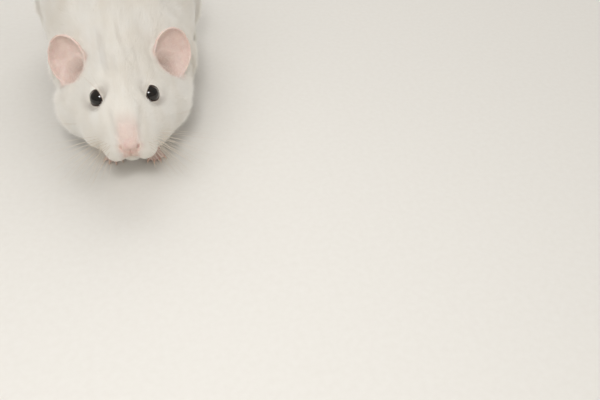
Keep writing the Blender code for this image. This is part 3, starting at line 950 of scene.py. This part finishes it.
def coat_piece_of(points, normals):
    """The index in COAT_PIECES of the piece that a tuft rooted at each point belongs to."""
    across, back, height = body_places(points)
    up = normals[:, 2]
    legs = (height < 17) & (distance_to(LEGS + FEET, points) < 0.0035)
    rules = [  # the first that holds for a point decides
        (legs & (back < 58), "coat_front_legs"),
        (legs & (back > 70), "coat_hind_legs"),
        ((back < 42) & (height < 12.5) & (up < -0.3) & (back > 12), "coat_throat"),
        (back < 12.5, "coat_muzzle"),
        ((back < 24) & (height > 24.5), "coat_brow"),
        ((back < 44) & (across > 12) & (height < 32), "coat_cheeks"),
        (back < 46, "coat_crown"),
        (up < -0.55, "coat_belly"),
        (back < 64, "coat_shoulders"),
        (back > 106, "coat_rump"),
        ((across < 16) & (up > 0), "coat_back"),
        (points[:, 0] > 0, "coat_flank_left"),
    ]
    piece = np.full(len(points), COAT_PIECES.index("coat_flank_right"))
    for test, name in reversed(rules):
        piece[test] = COAT_PIECES.index(name)
    return piece


def scatter_roots(skin, rng, cover):
    """Random roots, closest where tufts are smallest: points, normals, map places, bare and ear."""
    mesh = skin.data
    points, normals, faces = points_of(mesh), normals_of(mesh), triangles_of(mesh)
    bare, ear = get_attribute(mesh, "bare"), get_attribute(mesh, "ear")
    corners = points[faces]
    sides = corners[:, 1] - corners[:, 0], corners[:, 2] - corners[:, 0]
    areas = np.linalg.norm(np.cross(*sides), axis=1) / 2
    middles = corners.mean(1)
    _, length, _, width = coat_at(middles)
    length = shortened(length, bare[faces].mean(1), ear[faces].mean(1))
    sparse = 1 - 0.965 * ease(0.3, 0.9, bare[faces].mean(1))  # bare skin has few hairs
    unseen = 1 - 0.5 * ease(0.4, 0.8, -normals[faces].mean(1)[:, 2])  # the underside has fewer than the top
    deep = 0.66 + 0.34 * ease(0.002, 0.0045, length)  # short hair needs less cover
    expected = areas * cover * deep * sparse * unseen * outside_eyes(middles) / (length * width)
    total = np.cumsum(expected)
    count = int(total[-1])
    picks = np.searchsorted(total, (np.arange(count) + rng.random(count)) * total[-1] / count)
    picks = np.clip(picks, 0, len(faces) - 1)
    split = rng.random((count, 2))
    split = np.where(split.sum(1, keepdims=True) > 1, 1 - split, split)
    shares = np.column_stack([1 - split.sum(1), split])
    maps = read(mesh.uv_layers[SKIN_MAP].data, "uv", 2)[read(mesh.loop_triangles, "loops", 3, np.int32)]

    def blended(values):
        return (values[faces[picks]] * shares[:, :, None]).sum(1)

    both = blended(np.column_stack([bare, ear]))
    return blended(points), unit(blended(normals)), (maps[picks] * shares[:, :, None]).sum(1), *both.T


def shortened(length, bare, ear):
    """The hair's length on bare skin: a fuzz on the ears, and fine short hairs on feet, nose and tail."""
    return length * (1 - 0.78 * ear) * (1 - 0.5 * bare * (1 - ear))


def outside_eyes(points):
    """0 over the eyes' openings and just outside them, and 1 away from them."""
    clear = np.ones(len(points))
    for out, distance, gaze, up, inner in round_eyes(points):
        turn = np.arccos(np.clip(unit(out) @ gaze, -1, 1))
        line = lid_line(unit(np.column_stack([out @ up, out @ inner])))
        clear[(distance < EYE_RADIUS * 1.5) & (turn < line + 0.04)] = 0.0
    return clear


def combed(roots, normals, rng):
    """Each tuft's lie along the skin, length, lift and width, with the swirls of a real coat."""
    comb, length, lift, width = coat_at(roots)
    lie = unit(comb - normals * (comb * normals).sum(1, keepdims=True))
    across = np.cross(normals, lie)
    sway = 0.16 * ripple(roots, size=0.016, seed=3) + 0.10 * ripple(roots, size=0.005, seed=4)
    sway = sway + rng.normal(0, 0.10, len(roots))
    sway *= 0.5 + 0.5 * np.clip(length / 0.006, 0, 1)
    lie = lie * np.cos(sway)[:, None] + across * np.sin(sway)[:, None]
    lie = around_eyes(roots, normals, lie)
    lift = lift * (1 + 0.2 * ripple(roots, size=0.007, seed=5)) + rng.normal(0, 0.04, len(roots))
    return lie, length, np.clip(lift, 0.05, 1.2), width


def around_eyes(roots, normals, lie):
    """Turns the hair near an eye so that it streams round the opening and never points into it."""
    for out, distance, gaze, _, _ in round_eyes(roots):
        away = out - gaze * (out @ gaze)[:, None]
        away = unit(away - normals * (away * normals).sum(1, keepdims=True))
        near = fade(EYE_RADIUS * 1.05, EYE_RADIUS * 1.9, distance)[:, None]
        facing = (away * lie).sum(1, keepdims=True)
        lie = unit(lie + away * near * (1.6 * np.maximum(-facing, 0) + 0.25))
    return lie


def gathered(points, tips, rng, share, every):
    """Draws each tip a share of the way to the nearest leader's, one tuft in every so many, into locks."""
    leaders = rng.choice(len(points), max(1, len(points) // every), replace=False)
    tree = KDTree(len(leaders))
    for i, leader in enumerate(leaders):
        tree.insert(points[leader], i)
    tree.balance()
    nearest = np.fromiter((tree.find(point)[1] for point in points), int, len(points))
    return tips + (tips[leaders[nearest]] - tips) * share


# A tuft's corners are three round its root and its tip. TUFT_PATCH gives each one's place in its map patch.
TUFT_FACES = ((2, 1, 0), (3, 0, 1), (3, 1, 2), (3, 2, 0))
TUFT_PATCH = ((-1, -1), (1, -1), (0, 0), (0, 1))


def tuft_corners(roots, tips, normals, widths, rng):
    """The corners of closed three-sided tufts, each rolled a little about its length."""
    axis = unit(tips - roots)
    side = unit(np.cross(axis, normals))
    rise = np.cross(side, axis)
    roll = rng.normal(0, 0.35, len(roots))[:, None]
    half, flatness = (widths / 2)[:, None], 0.6
    turned_side = (side * np.cos(roll) + rise * np.sin(roll)) * half
    turned_rise = (rise * np.cos(roll) - side * np.sin(roll)) * half * flatness
    return np.stack([roots + turned_side, roots - turned_side, roots + turned_rise, tips], 1)


def coat_mesh(name, corners, places, values):
    """One mesh of tufts, with their places on the bake map and their values as attributes."""
    count, size = corners.shape[:2]
    faces = (np.array(TUFT_FACES)[None] + size * np.arange(count)[:, None, None]).reshape(-1, 3)
    mesh = bpy.data.meshes.new(name)
    mesh.vertices.add(count * size)
    mesh.vertices.foreach_set("co", corners.astype(np.float32).ravel())
    mesh.loops.add(faces.size)
    mesh.loops.foreach_set("vertex_index", faces.astype(np.int32).ravel())
    mesh.polygons.add(len(faces))
    mesh.polygons.foreach_set("loop_start", np.arange(0, faces.size, 3, dtype=np.int32))
    mesh.update(calc_edges=True)
    spread = places[:, None] + settings().map_patch / 2 * np.array(TUFT_PATCH)[None]
    flat = np.clip(spread[:, np.array(TUFT_FACES).ravel()], 0, 1).astype(np.float32).ravel()
    mesh.uv_layers.new(name="OFBake").data.foreach_set("uv", flat)
    for key, value in values.items():
        set_attribute(mesh, key, np.repeat(value, size))
    set_attribute(mesh, "along", np.tile([0.0, 0.0, 0.0, 1.0], count))
    return mesh


class HAMSTER_OT_coat(bpy.types.Operator):
    """The white coat: small tufts over the whole skin that follow its lie, shortest on the muzzle and feet"""

    bl_idname = "hamster.coat"
    bl_label = "Coat"

    def execute(self, context):
        rng = np.random.default_rng(5)
        skin = bpy.data.objects["skin"]
        roots, normals, maps, bare, ear = scatter_roots(skin, rng, settings().coat_cover)
        lie, length, lift, width = combed(roots, normals, rng)
        count = len(roots)
        # A tenth of the short hairs and a fifth of the others stray: they are longer, thinner and less flat.
        stray = rng.random(count) < 0.1 + 0.1 * ease(0.0025, 0.0038, length)
        long_haired = ease(0.004, 0.006, length)
        length = shortened(length, bare, ear) * rng.uniform(0.72, 1.08, count)
        length *= np.where(stray, 1.22 - 0.12 * long_haired, 1.0)
        lift = lift * np.where(stray, 1.7 - 0.45 * long_haired, 1.0)
        width = width * rng.uniform(0.75, 1.2, count) * np.where(stray, 0.6, 1.0) * (1 - 0.35 * bare)
        tips = roots + length[:, None] * (lie * np.cos(lift)[:, None] + normals * np.sin(lift)[:, None])
        tips = gathered(roots, tips, rng, share=0.16, every=9)
        starts = roots - normals * (width * 0.5)[:, None]
        tips[:, 2] = np.maximum(tips[:, 2], FLOOR_LEVEL + 0.0003)  # clear of the floor
        streaks = 0.5 * ripple(roots * (1.0, 0.14, 0.2), size=0.0035, seed=8)
        streaks = streaks + 0.3 * ripple(roots * (1.0, 0.16, 0.3), size=0.0018, seed=9)
        tones = np.clip(0.33 + 0.55 * streaks + rng.normal(0, 0.15, count), 0, 1)
        # the tufts carry painted shade under the eyes, beside the bridge and in the partings over the
        # forehead
        values = {"tone": tones, "bare": bare, "dusk": painted_shade_at(roots)}
        material = fur_material()
        piece = coat_piece_of(roots, normals)
        for index, name in enumerate(COAT_PIECES):
            own = piece == index
            corners = tuft_corners(starts[own], tips[own], normals[own], width[own], rng)
            mesh = coat_mesh(name, corners, maps[own], {key: value[own] for key, value in values.items()})
            if len(mesh.polygons) >= MOST_TRIANGLES:
                raise RuntimeError(f"{name} has {len(mesh.polygons)} triangles: split it")
            dress(new_object(name, mesh), material, "fur")
            mesh.shade_flat()
        return {"FINISHED"}


# --- Studio -------------------------------------------------------------------------------------


class HAMSTER_OT_studio(bpy.types.Operator):
    """A pale floor, soft lights and the camera, in front of the animal's face and a little above it"""

    bl_idname = "hamster.studio"
    bl_label = "Studio"

    def execute(self, context):
        self.add_floor()
        self.add_camera()
        self.add_lights()
        return {"FINISHED"}

    def add_floor(self):
        bm = bmesh.new()
        level = Matrix.Translation((0, 0, FLOOR_LEVEL))
        bmesh.ops.create_grid(bm, x_segments=4, y_segments=4, size=1.5, matrix=level)
        floor = object_from(bm, "floor")
        floor.data.materials.append(floor_material())

    def add_camera(self):
        values = settings()
        turn = Matrix.Rotation(values.camera_turn, 3, "Z")
        away = turn @ Vector((0, -math.cos(values.camera_height), math.sin(values.camera_height)))
        aim = (-away).to_track_quat("-Z", "Y").to_matrix()
        aim = aim @ Matrix.Rotation(values.camera_pan, 3, "Y") @ Matrix.Rotation(values.camera_tilt, 3, "X")
        aim = aim @ Matrix.Rotation(values.camera_roll, 3, "Z")
        data = bpy.data.cameras.new("camera")
        data.sensor_width = 36.0
        data.lens = values.camera_lens
        data.clip_start = 0.005
        camera = new_object("camera", data)
        camera.matrix_world = Matrix.Translation(BETWEEN_EYES + away * values.camera_distance) @ aim.to_4x4()
        bpy.context.scene.camera = camera

    def add_lights(self):
        values = settings()
        lamps = (  # each light's place from between the eyes, its size and its power
            ("lamp", (-0.012, -0.175, 0.235), 0.08, values.key_power),
            ("window", (-0.45, -0.38, 0.60), 0.9, values.window_power),
            ("side_fill", (0.60, -0.12, 0.45), 0.9, values.fill_power),
            ("back_fill", (0.10, 0.62, 0.50), 0.8, values.rim_power),
        )
        for name, offset, size, power in lamps:
            light = bpy.data.lights.new(name, "AREA")
            light.shape = "DISK"
            light.size = size
            light.energy = power
            lamp = new_object(name, light)
            lamp.visible_glossy = name == "lamp"  # the soft lights would show as grey discs in the eyes
            place_of = BETWEEN_EYES + Vector(offset)
            aim = (BETWEEN_EYES - place_of).to_track_quat("-Z", "Y").to_matrix().to_4x4()
            lamp.matrix_world = Matrix.Translation(place_of) @ aim
        world = bpy.data.worlds.new("studio_air")
        world.use_nodes = True
        air = world.node_tree.nodes["Background"].inputs
        air["Color"].default_value = linear("#F4F1EC")
        air["Strength"].default_value = values.air_strength
        bpy.context.scene.world = world
        bpy.context.scene.view_settings.view_transform = "Standard"


# --- Settings, panel and registration -----------------------------------------------------------


def colour_setting(name, description, default):
    return StringProperty(name=name, description=f"{description}, as sRGB hex", default=default, maxlen=7)


def number_setting(name, description, default):
    return FloatProperty(name=name, description=description, default=default)


def angle_setting(name, description, degrees):
    return FloatProperty(name=name, description=description, default=math.radians(degrees), subtype="ANGLE")


def length_setting(name, description, millimetres):
    return FloatProperty(
        name=name, description=description, default=millimetres * MM, min=0.0, precision=5, unit="LENGTH"
    )


class HamsterSettings(bpy.types.PropertyGroup):
    """The sizes and colours that a user may change before making the pieces"""

    fur_white: colour_setting("Fur", "Colour of most of the coat", "#FBF9F4")
    fur_cream: colour_setting("Cream", "Warmer areas of the coat, and the skin under it", "#F3ECE0")
    fur_shade: colour_setting("Shade", "The darkest tufts", "#E9E2D6")
    fur_root: colour_setting("Roots", "Colour near the roots of the hair", "#EFE7DB")
    # the colour of the painted shade under the eyes, beside the nose, in the ears' hollows and partings
    fur_painted_shade: colour_setting("Dusk", "Smudges round the eyes and beside the nose", "#A89C90")
    skin_pink: colour_setting("Skin", "Bare skin", "#DABFB6")
    skin_pale: colour_setting("Pale skin", "Paler mottling of bare skin", "#E2CCC2")
    skin_flush: colour_setting("Flushed skin", "Lips, nose and feet", "#E2B8AB")
    lid_rim: colour_setting("Lid rim", "The dark rim of the lids", "#4A3A35")
    skin_grain: length_setting("Grain", "Edge length of the skin's first mesh", 0.42)
    skin_kept: number_setting("Kept", "Share of the first mesh's faces that is kept", 0.34)
    eye_width: angle_setting("Eye width", "Half angle of the eye's opening, from side to side", 49.5)
    eye_height: angle_setting("Eye height", "Half angle of the eye's opening, from top to bottom", 49.0)
    lid_thickness: length_setting("Lid", "Thickness of the lids", 0.26)
    whisker_length: length_setting("Length", "Length of the longest whiskers", 20.0)
    whisker_thickness: length_setting("Thickness", "Thickness of a whisker at its root", 0.11)
    coat_cover: number_setting("Cover", "How many tufts lie over each spot of the skin", 18.0)
    coat_loft: number_setting("Loft", "Depth of the coat, as a share of how far a tuft stands", 0.8)
    map_patch: number_setting("Patch", "Size of a tuft's place on the bake map", 0.003)
    camera_distance: length_setting("Distance", "From the camera to the point between the eyes", 218.0)
    camera_height: angle_setting("Height", "How far above the head's own level the camera is", 33.5)
    camera_turn: angle_setting("Turn", "How far the camera stands to the animal's left", 3.3)
    camera_pan: angle_setting("Pan", "Turn of the view to the side, away from the eyes", -13.9)
    camera_tilt: angle_setting("Tilt", "Turn of the view down from the eyes", -10.85)
    camera_roll: angle_setting("Roll", "Turn of the view about its own line", -6.6)
    camera_lens: number_setting("Lens", "Focal length on a 36 mm wide sensor, in millimetres", 38.6)
    key_power: number_setting("Lamp", "Power of the small lamp over the camera, in watts", 0.33)
    window_power: number_setting("Window", "Power of the large soft light, in watts", 1.9)
    fill_power: number_setting("Side", "Power of the light from the side, in watts", 0.95)
    rim_power: number_setting("Back", "Power of the light from behind, in watts", 3.0)
    air_strength: number_setting("Air", "Brightness of the room's even light", 0.42)


class HAMSTER_PT_panel(bpy.types.Panel):
    """Lists the pieces in the order in which they are made"""

    bl_label = "Syrian Hamster"
    bl_idname = "HAMSTER_PT_panel"
    bl_space_type = "VIEW_3D"
    bl_region_type = "UI"
    bl_category = "Hamster"

    def draw(self, context):
        for operator in OPERATORS:
            self.layout.operator(operator.bl_idname)
        for name in HamsterSettings.__annotations__:
            self.layout.prop(context.scene.hamster, name)


OPERATORS = (  # in the order in which they run
    HAMSTER_OT_studio, HAMSTER_OT_skin, HAMSTER_OT_eyes, HAMSTER_OT_claws, HAMSTER_OT_whiskers,
    HAMSTER_OT_coat,
)
CLASSES = (HamsterSettings, *OPERATORS, HAMSTER_PT_panel)


def register():
    for item in CLASSES:
        bpy.utils.register_class(item)
    bpy.types.Scene.hamster = PointerProperty(type=HamsterSettings)


def unregister():
    del bpy.types.Scene.hamster
    for item in reversed(CLASSES):
        bpy.utils.unregister_class(item)


def main():
    register()
    bpy.ops.hamster.studio()
    bpy.ops.hamster.skin()
    bpy.ops.hamster.eyes()
    bpy.ops.hamster.claws()
    bpy.ops.hamster.whiskers()
    bpy.ops.hamster.coat()


if __name__ == "__main__":
    main()
